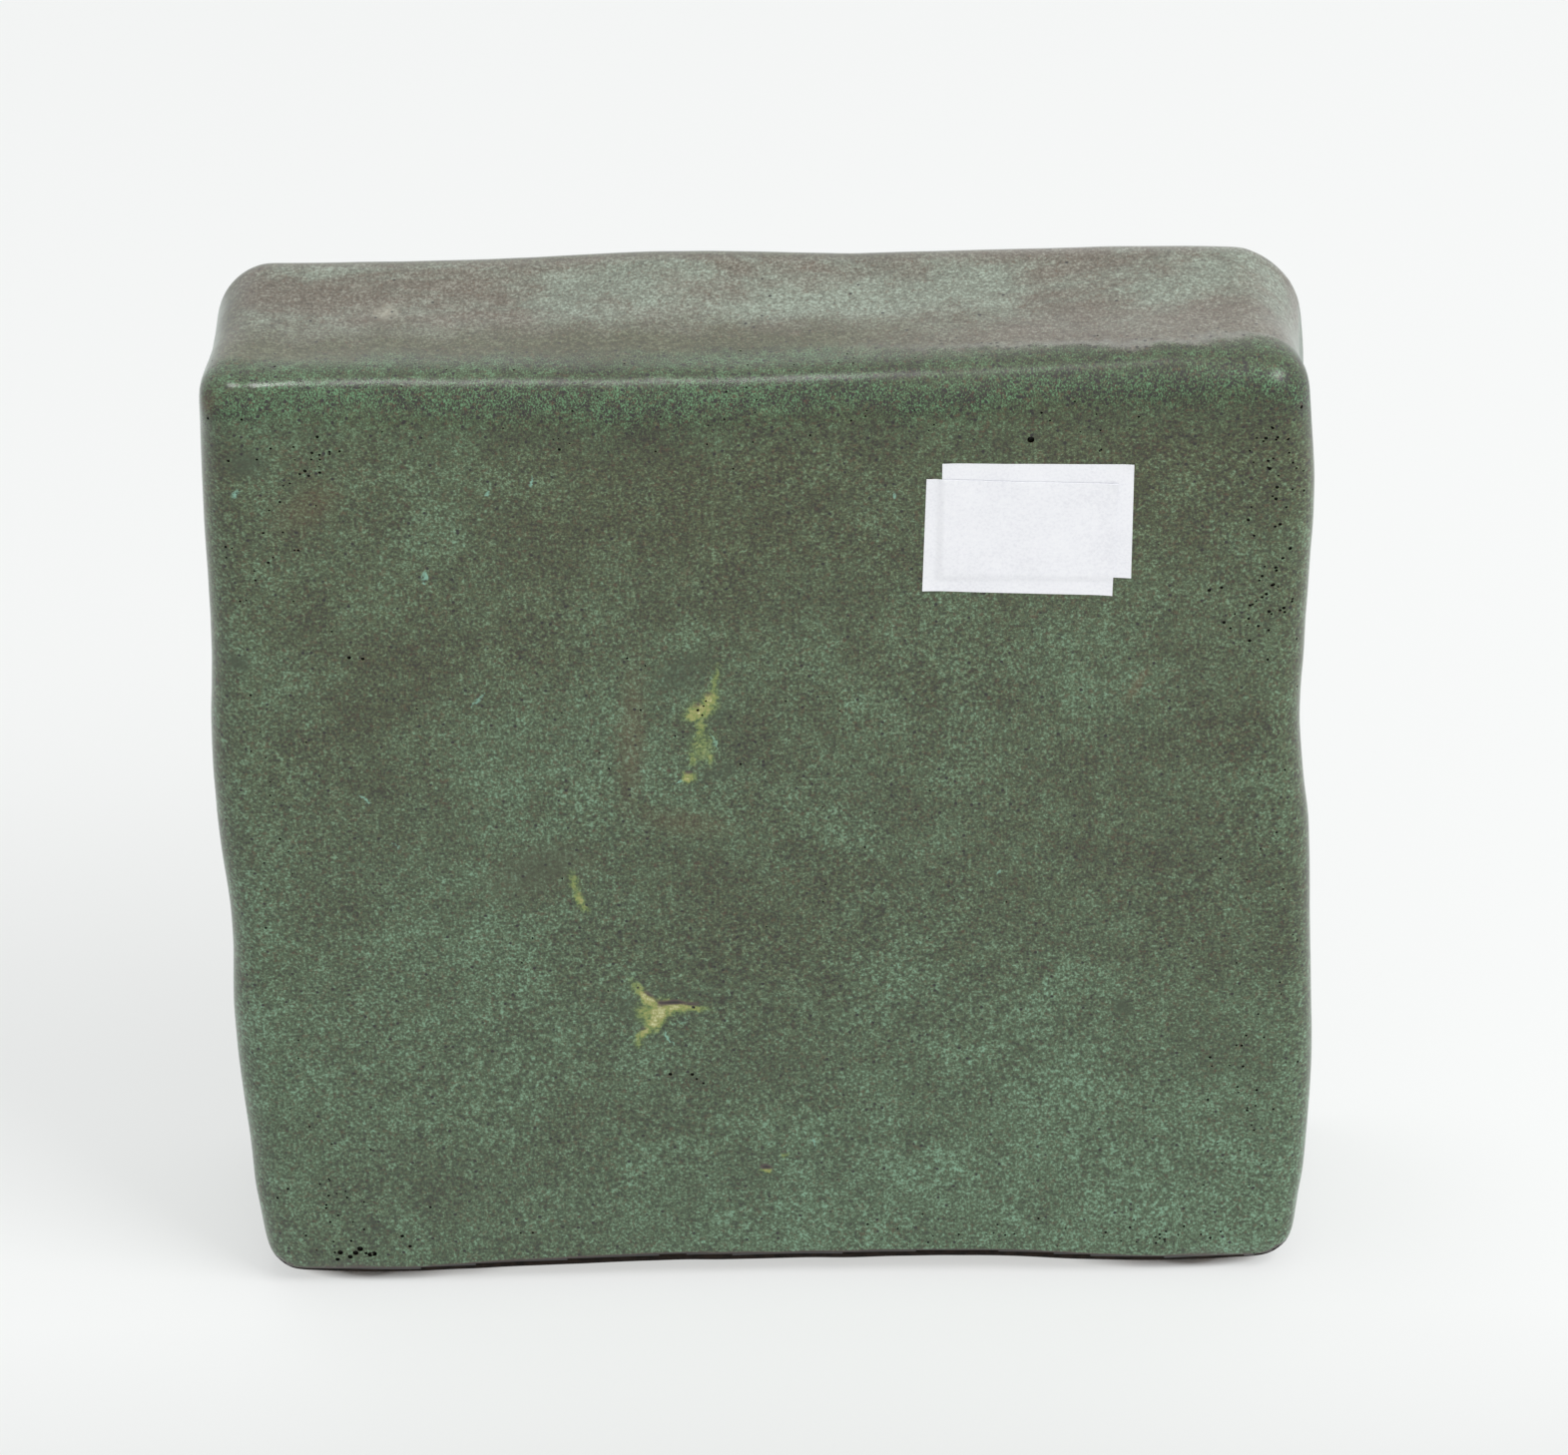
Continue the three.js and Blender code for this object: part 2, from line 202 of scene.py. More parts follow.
DARK_POOLS = [
    (-59.4, NEAR, 120.1, 2.2, 1.8, 0, 0.75), (-61.9, NEAR, 92.4, 1.4, 1.2, 0, 0.8),
    (42.6, NEAR, 40.9, 1.1, 0.7, 60, 0.9), (43.4, NEAR, 40.2, 0.9, 0.6, 120, 0.8),
    (-27.4, NEAR, 62.2, 5.2, 2.8, 24, 0.5), (-9.5, NEAR, 90.0, 4.0, 2.0, 40, 0.5),
    (-5.0, NEAR, 84.0, 1.6, 0.8, 70, 0.5), (-5.4, NEAR, 75.8, 3.0, 1.0, 15, 0.5),
    (-17.0, NEAR, 41.5, 2.4, 1.6, 100, 0.5), (-11.2, NEAR, 43.9, 2.6, 0.8, -10, 0.4),
    (-20.0, FAR, 92.0, 2.2, 1.4, 30, 0.6), (33.0, FAR, 46.0, 1.5, 1.0, 120, 0.6),
]
THIN_PATCHES = [(-43.5, 2.5, 130.6, 1.6, 1.5, 0, 0.95)]
GLOSSY_RUNS = [
    (-57.0, -15.0, 129.0, 4.6, 1.6, 0, 1.0), (63.4, -14.4, 128.4, 1.2, 1.4, 0, 1.0),
]
SKIP_DEPTH = 0.16 * MM        # how far the bare clay lies under the glaze
SKIP_MARGIN = 1.2 * MM        # the mesh is made finer this far round a skip
SKIP_CUTS = 2
SKIP_RIM = 0.4                # mm past its oval at which a skip's dip begins
SKIP_RANGE = 1                # mm: no oval reaches further than its length and this
RIPPLE = 0.12 * MM            # height of the hand's slow ripples
RIPPLE_SIZE = 16 * MM
RIPPLE_FRACTAL = (0.8, 2, 3)  # how fast finer ripples fade, and their step and count

skin = bmesh.new()
skin.from_mesh(body.data)
near_skips = [v for v in skin.verts
              if any((v.co - Vector((x, y, z)) * MM).length < along * MM + SKIP_MARGIN
                     for x, y, z, along, *_ in BARE_SPOTS)]
round_skips = {edge for v in near_skips for edge in v.link_edges}
bmesh.ops.subdivide_edges(skin, edges=list(round_skips), cuts=SKIP_CUTS, use_grid_fill=True)
skin.normal_update()
for v in skin.verts:
    sunk = 0
    for x, y, z, along, across, tilt, strength in BARE_SPOTS:
        away = v.co / MM - Vector((x, y, z))
        if away.length < 2 * along + SKIP_RANGE:
            away.rotate(Matrix.Rotation(math.radians(tilt), 3, "Y"))
            oval = math.hypot(away.x / (along + SKIP_RIM), away.z / (across + SKIP_RIM))
            sunk = max(sunk, strength * (1 - oval ** 2))
    ripple = noise.fractal(v.co / RIPPLE_SIZE, *RIPPLE_FRACTAL) * RIPPLE
    v.co += v.normal * (ripple - sunk * SKIP_DEPTH)
skin.normal_update()
skin_surface = BVHTree.FromBMesh(skin)
skin.to_mesh(body.data)
skin.free()

# Burst bubbles and the hollow
# Gas from the clay burst through the melting glaze and left small dark pits with sharp rims.
# Each pit is a ball cut out of the skin, sunk so far that its opening is narrower than it is.
# The same cut takes out the hollow and the filling hole with its softened rim.
OUTWARD = {"near": Vector((0, -1, 0)), "far": Vector((0, 1, 0)), "left": Vector((-1, 0, 0)),
           "right": Vector((1, 0, 0)), "top": Vector((0, 0, 1))}
SINGLE_PITS = [
    # x, z and width of the opening, in mm: the crowd of large ones at the lower left corner
    (-54.3, 5.2, 0.75), (-53.1, 4.5, 0.65), (-52.4, 5.1, 0.75), (-51.8, 5.7, 0.8),
    (-50.6, 4.8, 0.7), (-50.1, 4.9, 0.75), (-54.7, 4.1, 0.6), (-51.1, 5.0, 0.45),
    # and the ones that stand out elsewhere
    (32.3, 121.7, 0.9), (-22.7, 121.4, 0.4), (-48.7, 93.0, 0.5), (-47.1, 92.8, 0.45),
    (-12.5, 31.5, 0.5), (-9.8, 31.4, 0.5), (-9.3, 30.7, 0.35), (-8.5, 30.0, 0.35),
    (-46.5, 7.5, 0.5), (-45.6, 5.9, 0.5), (-42.8, 11.9, 0.35), (-31.8, 7.5, 0.3),
    (-30.3, 7.5, 0.35), (-2.7, 77.0, 0.35), (-7.6, 84.7, 0.4), (-6.6, 86.0, 0.3),
    (-6.9, 85.3, 0.3), (-7.1, 84.0, 0.3),
]
PIT_CROWDS = [
    # side, middle, spread, count, narrowest and widest opening, in mm
    ("near", (-51.2, 120.2), (1.5, 2.5), 12, 0.28, 0.45),
    ("near", (-57.0, 113.0), (5.0, 8.0), 26, 0.2, 0.4),
    ("near", (60.5, 118.5), (2.4, 4.5), 34, 0.25, 0.5),
    ("near", (59.8, 99.5), (2.2, 4.0), 34, 0.25, 0.5),
    ("near", (47.5, 5.6), (3.5, 0.8), 12, 0.25, 0.4),
    ("near", (-59.0, 60.0), (2.5, 26.0), 24, 0.2, 0.35),
    ("near", (-55.0, 14.0), (3.5, 6.0), 24, 0.2, 0.4),
    ("near", (60.0, 50.0), (3.0, 26.0), 24, 0.2, 0.35),
    ("near", (0.0, 124.5), (45.0, 2.5), 44, 0.18, 0.32),
    ("near", (0.0, 62.0), (34.0, 34.0), 50, 0.18, 0.3),
    ("near", (58.0, 24.0), (2.6, 9.0), 26, 0.2, 0.4),
    ("near", (32.0, 6.0), (13.0, 1.6), 22, 0.2, 0.38),
    ("top", (0.0, -10.5), (45.0, 2.0), 26, 0.18, 0.3),
    ("far", (0.0, 65.0), (38.0, 38.0), 60, 0.2, 0.45),
    ("left", (0.0, 70.0), (7.0, 34.0), 30, 0.2, 0.4),
    ("right", (0.0, 70.0), (7.0, 34.0), 30, 0.2, 0.4),
]
PIT_SEED = 7
PIT_BALL = 0.62               # radius of the ball as a share of the opening's width
PIT_FACING = 0.5              # pits that would lie further round an edge are left out
BORE = 12 * MM                # width of the filling hole
BORE_CHAMFER = 1.2 * MM
BORE_SEGMENTS = 64
PAST_BASE, INTO_HOLLOW = 3 * MM, 1 * MM   # how far its cutter sticks out at either end
CUTTERS_APART = 0.01 * MM     # keeps the walls of the two cutters from coinciding
CLAY_SLOT, LINING_SLOT, FOOT_SHADE_SLOT = 1, 2, 3   # places of the body's materials, after glaze
BEYOND = 0.3                  # metres: rays start this far out, well past the block


def on_skin(side, across, up):
    """The skin's point and normal where a straight line from that side meets it."""
    outward = OUTWARD[side]
    if side in ("near", "far"):
        inside = Vector((across, 0, up))
    elif side == "top":
        inside = Vector((across, up, hollow_low.z))
    else:
        inside = Vector((0, across, up))
    point, normal, _, _ = skin_surface.ray_cast(inside + outward * BEYOND, -outward)
    return point, normal


pits = [("near", x * MM, z * MM, width * MM) for x, z, width in SINGLE_PITS]
chance = random.Random(PIT_SEED)
for side, middle, spread, count, narrow, wide in PIT_CROWDS:
    for _ in range(count):
        across, up = (chance.gauss(m, s) * MM for m, s in zip(middle, spread))
        pits.append((side, across, up, chance.uniform(narrow, wide) * MM))

cutter = bmesh.new()
for side, across, up, width in pits:
    point, normal = on_skin(side, across, up)
    if point is None or normal.dot(OUTWARD[side]) < PIT_FACING:
        continue
    ball = PIT_BALL * width
    depth = math.sqrt(ball ** 2 - (width / 2) ** 2)
    bmesh.ops.create_icosphere(cutter, subdivisions=2, radius=ball,
                               matrix=Matrix.Translation(point - normal * depth))
for face in cutter.faces:
    face.material_index = LINING_SLOT
pit_faces = len(cutter.faces)
bmesh.ops.create_cube(cutter, size=1, matrix=Matrix.Translation((hollow_low + hollow_high) / 2)
                      @ Matrix.Diagonal((*(hollow_high - hollow_low), 1)))
bung_low, bung_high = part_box("cork_bung")
bore_axis = (bung_low + bung_high) / 2
under = block_low.z
for bottom_radius, top_radius, bottom, top in (
        (BORE / 2, BORE / 2, under - PAST_BASE, hollow_low.z + INTO_HOLLOW),
        (BORE / 2 + 2 * BORE_CHAMFER, BORE / 2 - CUTTERS_APART, under - BORE_CHAMFER,
         under + BORE_CHAMFER)):
    bmesh.ops.create_cone(
        cutter, cap_ends=True, segments=BORE_SEGMENTS, radius1=bottom_radius,
        radius2=top_radius, depth=top - bottom,
        matrix=Matrix.Translation((bore_axis.x, bore_axis.y, (bottom + top) / 2)))
cutter.faces.ensure_lookup_table()
for face in cutter.faces[pit_faces:]:
    face.material_index = CLAY_SLOT
cutters = move_mesh_to_scene("cutters", cutter)


def linear(colour):
    """An sRGB hex colour, or a plain grey level, as the four numbers that a shader takes."""
    if not isinstance(colour, str):
        return [colour, colour, colour, 1]
    parts = [int(colour[i:i + 2], 16) / 255 for i in (1, 3, 5)]
    return [p / 12.92 if p <= 0.04045 else ((p + 0.055) / 1.055) ** 2.4 for p in parts] + [1]


def add(material, kind, inputs=None, stops=(), **settings):
    """Adds a node with its settings, its ramp's stops, and its inputs linked or set."""
    made = material.node_tree.nodes.new(kind)
    for key, value in settings.items():
        setattr(made, key, value)
    for number, (position, colour) in enumerate(stops):
        ramp = made.color_ramp.elements
        stop = ramp[number] if number < 2 else ramp.new(position)
        stop.position, stop.color = position, linear(colour)
    for socket, value in (inputs or {}).items():
        if isinstance(value, bpy.types.NodeSocket):
            material.node_tree.links.new(value, made.inputs[socket])
        else:
            made.inputs[socket].default_value = value
    return made


def empty_material(name):
    """A material with an empty node tree."""
    made = bpy.data.materials.new(name)
    made.use_nodes = True
    made.node_tree.nodes.clear()
    return made


# Matte copper glaze
# A matte glaze coloured with copper and iron: tiny teal crystals in an olive-brown ground. It
# is thin and purple-brown on top, dark and streaked where it gathered over the top edge, and
# cooler towards the foot. It breaks to yellow-green and then to buff clay at the skips.
CRYSTAL = 0.38 * MM           # spacing of the crystals, drawn as coarse as it needs to show
CLUSTER = 1.1 * MM            # spacing of their clusters
TINGE = 0.6 * MM              # spacing of single crystals that differ in hue, teal or brown
MOTTLE, DRIFT = 6 * MM, 40 * MM   # sizes of the small and the large patches
DRAWN_OUT = (1.9, 1.4, 1.4)   # crystals that ran over the edge are finer across than down
TOP_LEVEL = 130.7 * MM        # height of the rolled top edge
NEAR_SIDE, FAR_SIDE, END_SIDE = 16.7 * MM, 17.3 * MM, 71 * MM
FAR_RATE, END_RATE = 3.2, 2   # the thin glaze of the top comes closer to the far side and ends,
END_SHIFT = 2 * MM            # and most of all to the right end
CORNER_BLEND = 8 * MM         # its edge turns the block's corners as roundly as this
BAY, BAY_DEPTH = 13 * MM, 12 * MM   # and wanders in bays of this width and depth
OVER_RANGE = 20 * MM          # how far from the edge, either way, the look still changes
WARM_TO, COOL_FROM = 125 * MM, 10 * MM   # heights between which the warm green turns cool
SMEAR, SMEAR_DRAWN = 12 * MM, (0.45, 0.9, 1)   # brush smears on top, drawn out along it
RIGHT_FROM, RIGHT_TO = 8 * MM, 32 * MM   # where the look of the right half fades in
IRON = 0.5 * MM               # spacing of the rusty specks
FRAY, FRAY_WIDTH = 0.9 * MM, 1.5 * MM   # size and width of the frayed edge of each mark
MARK_DEPTH = 2 * MM           # how far each mark reaches in from its side
MARK_CORE = 0.2               # share of a mark's size that has its full strength
PINHOLE = 0.95 * MM           # spacing of the pinholes
RELIEF = 0.03 * MM            # how far the crystals stand up

glaze = empty_material("matte_copper_glaze")
place = add(glaze, "ShaderNodeTexCoord").outputs["Object"]
spot = add(glaze, "ShaderNodeSeparateXYZ", {"Vector": place}).outputs

# how far a point lies over the top edge: negative down the face, positive in over the top
near = add(glaze, "ShaderNodeMath", {0: spot["Y"], 1: -1, 2: -NEAR_SIDE},
           operation="MULTIPLY_ADD").outputs[0]
far = add(glaze, "ShaderNodeMath", {0: spot["Y"], 1: FAR_RATE, 2: -FAR_SIDE * FAR_RATE},
          operation="MULTIPLY_ADD").outputs[0]
end = add(glaze, "ShaderNodeMath", {0: spot["X"], 1: END_SHIFT}, operation="SUBTRACT").outputs[0]
end = add(glaze, "ShaderNodeMath", {0: end}, operation="ABSOLUTE").outputs[0]
end = add(glaze, "ShaderNodeMath", {0: end, 1: END_RATE, 2: -END_SIDE * END_RATE},
          operation="MULTIPLY_ADD").outputs[0]
side = add(glaze, "ShaderNodeMath", {0: near, 1: far}, operation="MAXIMUM").outputs[0]
side = add(glaze, "ShaderNodeMath", {0: side, 1: end, 2: CORNER_BLEND},
           operation="SMOOTH_MAX").outputs[0]
over = add(glaze, "ShaderNodeMath", {0: spot["Z"], 1: side}, operation="SUBTRACT").outputs[0]
wander = add(glaze, "ShaderNodeTexNoise", {
    "Vector": place, "Scale": 1 / BAY, "Detail": 6, "Roughness": 0.78}).outputs["Fac"]
over = add(glaze, "ShaderNodeMath", {0: wander, 1: BAY_DEPTH, 2: over},
           operation="MULTIPLY_ADD").outputs[0]
over = add(glaze, "ShaderNodeMapRange", {
    "Value": over, "From Min": TOP_LEVEL + BAY_DEPTH / 2 - OVER_RANGE,
    "From Max": TOP_LEVEL + BAY_DEPTH / 2 + OVER_RANGE}).outputs["Result"]
gathered = add(glaze, "ShaderNodeValToRGB", {"Fac": over}, stops=(
    (0.2, 0.0), (0.34, 0.4), (0.43, 1.0), (0.5, 0.9), (0.55, 0.6), (0.6, 0.75),
    (0.66, 0.7), (0.74, 0.0))).outputs["Color"]

# noise of each size, with its octaves and how strong the finer ones are
settled, tinge, cluster, iron, drift = (
    add(glaze, "ShaderNodeTexNoise", {"Vector": place, "Scale": 1 / size, "Detail": octaves,
                                      "Roughness": finer}).outputs["Fac"]
    for size, octaves, finer in (
        (CRYSTAL, 3, 0.7), (TINGE, 3, 0.7), (CLUSTER, 2, 0.6), (IRON, 2, 0.6), (DRIFT, 2, 0.5)))
mottle = add(glaze, "ShaderNodeTexNoise", {
    "Vector": place, "Scale": 1 / MOTTLE, "Detail": 3, "Roughness": 0.6,
    "Distortion": 0.3}).outputs["Fac"]

# crystals, drawn out down the slope where the glaze ran over the edge, and their clusters
drawn = add(glaze, "ShaderNodeMapping", {"Vector": place, "Scale": DRAWN_OUT})
drawn = add(glaze, "ShaderNodeTexNoise", {
    "Vector": drawn.outputs["Vector"], "Scale": 1 / CRYSTAL, "Detail": 2,
    "Roughness": 0.6}).outputs["Fac"]
crystal = add(glaze, "ShaderNodeMix", {"Factor": gathered, "A": settled, "B": drawn},
              data_type="FLOAT").outputs[0]
speck = crystal
for layer, weight in ((cluster, 0.28), (mottle, 0.17), (drift, 0.12)):
    speck = add(glaze, "ShaderNodeMath", {0: layer, 1: weight, 2: speck},
                operation="MULTIPLY_ADD").outputs[0]
speck = add(glaze, "ShaderNodeMapRange", {
    "Value": speck, "From Min": 0.55, "From Max": 1.03}).outputs["Result"]
on_top = add(glaze, "ShaderNodeMath", {0: crystal, 1: 0.16, 2: over},
             operation="MULTIPLY_ADD").outputs[0]
on_top = add(glaze, "ShaderNodeMapRange", {
    "Value": on_top, "From Min": 0.7, "From Max": 0.81},
    interpolation_type="SMOOTHSTEP").outputs["Result"]

# each colour runs from the dark ground to the pale crystals: two greens for the faces, the
# gathered edge, and the thin glaze of the top in brown, olive and sage
warm, cool, pooled, brown, olive, sage = (
    add(glaze, "ShaderNodeValToRGB", {"Fac": speck}, stops=stops).outputs["Color"]
    for stops in (
        ((0.15, "#221b0d"), (0.42, "#393d1f"), (0.62, "#4d5733"), (0.9, "#70845f")),
        ((0.15, "#283423"), (0.42, "#43583c"), (0.62, "#5a7456"), (0.9, "#82ab8f")),
        ((0.26, "#0d0a05"), (0.38, "#222913"), (0.56, "#3a5130"), (0.95, "#5e8d65")),
        ((0.06, "#40382d"), (0.37, "#5b5446"), (0.57, "#6b6557"), (0.85, "#8d8d80")),
        ((0.06, "#211e0b"), (0.37, "#393a1c"), (0.57, "#494d2f"), (0.85, "#6c7156")),
        ((0.06, "#52564a"), (0.37, "#6f7668"), (0.57, "#828c7d"), (0.85, "#a2b1a1"))))

# warmer and browner high up, cooler and tealer low down, in patches a few centimetres wide
cooling = add(glaze, "ShaderNodeMapRange", {
    "Value": spot["Z"], "From Min": WARM_TO, "From Max": COOL_FROM, "To Min": -0.28,
    "To Max": 0.22}).outputs["Result"]
for layer, weight in ((mottle, 0.35), (drift, 0.7), (tinge, 1.2)):
    cooling = add(glaze, "ShaderNodeMath", {0: layer, 1: weight, 2: cooling},
                  operation="MULTIPLY_ADD").outputs[0]
cooling = add(glaze, "ShaderNodeMapRange", {
    "Value": cooling, "From Min": 0.65, "From Max": 1.47},
    interpolation_type="SMOOTHSTEP").outputs["Result"]
colour = add(glaze, "ShaderNodeMix", {"Factor": cooling, "A": warm, "B": cool},
             data_type="RGBA").outputs[2]
colour = add(glaze, "ShaderNodeMix", {"Factor": gathered, "A": colour, "B": pooled},
             data_type="RGBA").outputs[2]

# the thin glaze on top, in smears that the brush left along it
smear = add(glaze, "ShaderNodeMapping", {"Vector": place, "Scale": SMEAR_DRAWN})
smear = add(glaze, "ShaderNodeTexNoise", {
    "Vector": smear.outputs["Vector"], "Scale": 1 / SMEAR, "Detail": 6, "Roughness": 0.66,
    "Distortion": 0.3}).outputs["Fac"]
smear = add(glaze, "ShaderNodeMapRange", {
    "Value": smear, "From Min": 0.41, "From Max": 0.6},
    interpolation_type="SMOOTHSTEP").outputs["Result"]
inward = add(glaze, "ShaderNodeMapRange", {
    "Value": over, "From Min": 0.7, "From Max": 0.92}).outputs["Result"]
smear = add(glaze, "ShaderNodeMath", {0: smear, 1: inward}, operation="MULTIPLY").outputs[0]
right = add(glaze, "ShaderNodeMapRange", {
    "Value": spot["X"], "From Min": RIGHT_FROM, "From Max": RIGHT_TO}).outputs["Result"]
strip = add(glaze, "ShaderNodeMapRange", {
    "Value": over, "From Min": 0.76, "From Max": 0.9}).outputs["Result"]
strip = add(glaze, "ShaderNodeMath", {0: strip, 1: right}, operation="MAXIMUM").outputs[0]
thin = add(glaze, "ShaderNodeMix", {"Factor": smear, "A": brown, "B": sage},
           data_type="RGBA").outputs[2]
thin = add(glaze, "ShaderNodeMix", {"Factor": strip, "A": olive, "B": thin},
           data_type="RGBA").outputs[2]
colour = add(glaze, "ShaderNodeMix", {"Factor": on_top, "A": colour, "B": thin},
             data_type="RGBA").outputs[2]

# iron from the clay came up through the glaze as fine rusty specks
iron = add(glaze, "ShaderNodeMapRange", {
    "Value": iron, "From Min": 0.56, "From Max": 0.72, "To Max": 0.5}).outputs["Result"]
colour = add(glaze, "ShaderNodeMix", {"Factor": iron, "A": colour, "B": linear("#5c3f27")},
             data_type="RGBA").outputs[2]

# towards the right a pale line is painted along the crest where the top begins: a painted
# highlight on the slope there that faces up
painted_crest_highlight = add(glaze, "ShaderNodeValToRGB", {"Fac": over}, stops=(
    (0.65, 0.0), (0.68, 0.24), (0.71, 0.0))).outputs["Color"]
painted_crest_highlight = add(glaze, "ShaderNodeMath", {0: painted_crest_highlight, 1: right}, operation="MULTIPLY").outputs[0]
colour = add(glaze, "ShaderNodeMix", {"Factor": painted_crest_highlight, "A": colour, "B": linear("#b8bab6")},
             data_type="RGBA").outputs[2]

# skips, drops and pools: each field is the strongest of its ovals, which have frayed edges
# and fade out at so many times their size
fray = add(glaze, "ShaderNodeTexNoise", {
    "Vector": place, "Scale": 1 / FRAY, "Detail": 3, "Roughness": 0.65}).outputs["Color"]
fray = add(glaze, "ShaderNodeVectorMath", {0: fray, 1: (0.5, 0.5, 0.5)},
           operation="SUBTRACT").outputs[0]
frayed = add(glaze, "ShaderNodeVectorMath", {0: fray, 1: (FRAY_WIDTH, 0, FRAY_WIDTH), 2: place},
             operation="MULTIPLY_ADD").outputs[0]
fields = []
for ovals, reach in ((BARE_SPOTS, 2.4), (PALE_DROPS, 1.6), (RUST_STAINS, 1.8),
                     (DARK_POOLS, 1.7), (THIN_PATCHES, 1.7), (GLOSSY_RUNS, 1.5)):
    field = 0.0
    for x, y, z, along, across, tilt, strength in ovals:
        away = add(glaze, "ShaderNodeMapping", {
            "Vector": frayed, "Location": (x * MM, y * MM, z * MM),
            "Rotation": (0, -math.radians(tilt), 0),
            "Scale": (along * MM, MARK_DEPTH, across * MM)}, vector_type="TEXTURE").outputs[0]
        away = add(glaze, "ShaderNodeVectorMath", {0: away}, operation="LENGTH").outputs["Value"]
        fade = add(glaze, "ShaderNodeMapRange", {
            "Value": away, "From Min": reach, "From Max": MARK_CORE, "To Max": strength},
            interpolation_type="SMOOTHSTEP").outputs["Result"]
        field = add(glaze, "ShaderNodeMath", {0: fade, 1: field},
                    operation="MAXIMUM").outputs[0]
    fields.append(field)
bare, pale, rust, pool, worn, glossy = fields
rust = add(glaze, "ShaderNodeMath", {0: rust, 1: tinge}, operation="MULTIPLY").outputs[0]
drop = add(glaze, "ShaderNodeMath", {0: pale, 1: speck}, operation="MULTIPLY").outputs[0]
drop = add(glaze, "ShaderNodeMapRange", {
    "Value": drop, "From Min": 0.12, "From Max": 0.42}).outputs["Result"]
for cover, hue in ((rust, "#6b4a2c"), (pool, "#34422a"), (worn, "#b9b6a4"), (drop, "#7fae98")):
    colour = add(glaze, "ShaderNodeMix", {"Factor": cover, "A": colour, "B": linear(hue)},
                 data_type="RGBA").outputs[2]
frayed_bare = add(glaze, "ShaderNodeMath", {0: crystal, 1: 1.9, 2: bare},
                  operation="MULTIPLY_ADD").outputs[0]
skip = add(glaze, "ShaderNodeMapRange", {
    "Value": frayed_bare, "From Min": 0.85, "From Max": 2.25}).outputs["Result"]
skip_colour = add(glaze, "ShaderNodeValToRGB", {"Fac": skip}, stops=(
    (0.02, "#3a4a2a"), (0.2, "#4c6237"), (0.36, "#708747"), (0.52, "#8d9752"),
    (0.68, "#a09e60"), (0.98, "#d0d5a2"))).outputs["Color"]
skip_cover = add(glaze, "ShaderNodeMapRange", {
    "Value": bare, "From Min": 0.0, "From Max": 0.62}).outputs["Result"]
colour = add(glaze, "ShaderNodeMix", {"Factor": skip_cover, "A": colour, "B": skip_colour},
             data_type="RGBA").outputs[2]

# pinholes too small to cut: scattered dark dots, thick along the gathered edge, painted near black
# as the shade in each hole and the dark glass in it
cell = add(glaze, "ShaderNodeTexVoronoi", {"Vector": place, "Scale": 1 / PINHOLE})
dot = add(glaze, "ShaderNodeMapRange", {
    "Value": cell.outputs["Distance"], "From Min": 0.27, "From Max": 0.17}).outputs["Result"]
odds = add(glaze, "ShaderNodeSeparateColor", {"Color": cell.outputs["Color"]}).outputs["Red"]
likely = add(glaze, "ShaderNodeMath", {0: gathered, 1: 0.75, 2: 0.12},
             operation="MULTIPLY_ADD").outputs[0]
likely = add(glaze, "ShaderNodeMath", {0: on_top, 1: -0.08, 2: likely},
             operation="MULTIPLY_ADD").outputs[0]
chosen = add(glaze, "ShaderNodeMath", {0: odds, 1: likely}, operation="LESS_THAN").outputs[0]
dot = add(glaze, "ShaderNodeMath", {0: dot, 1: chosen}, operation="MULTIPLY").outputs[0]
colour = add(glaze, "ShaderNodeMix", {"Factor": dot, "A": colour, "B": linear("#120d07")},
             data_type="RGBA").outputs[2]

# the foot: the glaze ends in a thin purple-brown line where the face turns under, and below that
# line the surface is painted almost black as the shade under the foot. Towards both ends the whole
# face leans under, so the line comes at a steeper angle there.
LEAN_START, LEAN_END, LEAN = 36 * MM, 60 * MM, 0.22
facing = add(glaze, "ShaderNodeNewGeometry").outputs["Normal"]
facing = add(glaze, "ShaderNodeSeparateXYZ", {"Vector": facing}).outputs["Z"]
foot = add(glaze, "ShaderNodeMath", {0: wander, 1: 0.12, 2: facing},
           operation="MULTIPLY_ADD").outputs[0]
lean = add(glaze, "ShaderNodeMath", {0: spot["X"]}, operation="ABSOLUTE").outputs[0]
lean = add(glaze, "ShaderNodeMapRange", {
    "Value": lean, "From Min": LEAN_START, "From Max": LEAN_END,
    "To Max": LEAN}).outputs["Result"]
foot = add(glaze, "ShaderNodeMath", {0: foot, 1: lean}, operation="ADD").outputs[0]
# the purple-brown line is the glaze's own colour; the near black below it is painted shade
for starts, ends, hue in ((0, -0.06, "#4a3a36"), (-0.06, -0.1, "#17110d")):
    cover = add(glaze, "ShaderNodeMapRange", {
        "Value": foot, "From Min": starts, "From Max": ends}).outputs["Result"]
    colour = add(glaze, "ShaderNodeMix", {"Factor": cover, "A": colour, "B": linear(hue)},
                 data_type="RGBA").outputs[2]

